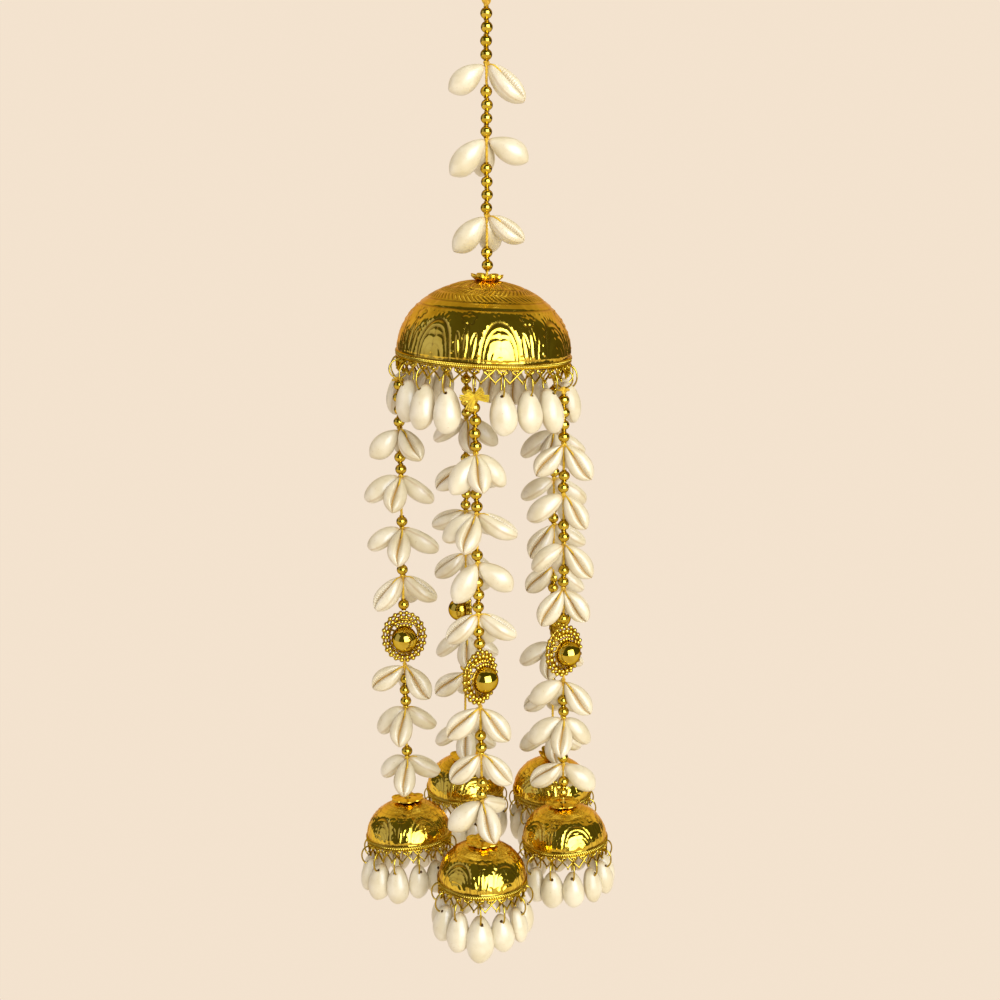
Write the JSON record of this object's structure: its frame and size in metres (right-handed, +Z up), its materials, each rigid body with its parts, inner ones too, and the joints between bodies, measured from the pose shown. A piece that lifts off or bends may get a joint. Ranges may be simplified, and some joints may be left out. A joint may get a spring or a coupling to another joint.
{
  "type": "kalira bridal hanging ornament",
  "caption": "Long hanging wrist ornament of gold beads and cowrie shells, with a large engraved dome and a ring of small domes fringed with shells.",
  "frame": {"origin": "inside of the tie loop's top, where the loop rests on the bangle or hook that holds it", "axes": "+Z up along the hanging line, -Y the viewed front, +X to the viewer's right"},
  "size_m": [0.1271, 0.142, 0.4419],
  "materials": {
    "gold": "polished bright yellow gold plate on brass",
    "shell": "natural cowrie shell, cream white with a glossy back",
    "thread": "bright yellow cotton thread"
  },
  "bodies": {
    "root": {"tie_loop": "thread", "top_beads_1": "gold", "top_beads_2": "gold", "top_beads_3": "gold", "top_beads_4": "gold", "top_shell_1": "shell", "top_shell_2": "shell", "top_shell_3": "shell", "top_shell_4": "shell", "top_shell_5": "shell", "top_shell_6": "shell", "top_shell_7": "shell", "top_shell_8": "shell", "top_cap": "gold", "main_dome": "gold", "main_drop_1": "shell", "main_drop_2": "shell", "main_drop_3": "shell", "main_drop_4": "shell", "main_drop_5": "shell", "main_drop_6": "shell", "main_drop_7": "shell", "main_drop_8": "shell", "main_drop_9": "shell", "main_drop_10": "shell", "main_drop_11": "shell", "main_drop_12": "shell", "main_drop_13": "shell", "main_drop_14": "shell", "main_drop_15": "shell", "upper_string_front": "shell", "rosette_front": "gold", "lower_string_front": "shell", "cap_front": "gold", "dome_front": "gold", "fringe_front": "shell", "upper_string_right": "shell", "rosette_right": "gold", "lower_string_right": "shell", "cap_right": "gold", "dome_right": "gold", "fringe_right": "shell", "upper_string_back_right": "shell", "rosette_back_right": "gold", "lower_string_back_right": "shell", "cap_back_right": "gold", "dome_back_right": "gold", "fringe_back_right": "shell", "upper_string_back_left": "shell", "rosette_back_left": "gold", "lower_string_back_left": "shell", "cap_back_left": "gold", "dome_back_left": "gold", "fringe_back_left": "shell", "upper_string_left": "shell", "rosette_left": "gold", "lower_string_left": "shell", "cap_left": "gold", "dome_left": "gold", "fringe_left": "shell"}
  },
  "joints": []
}
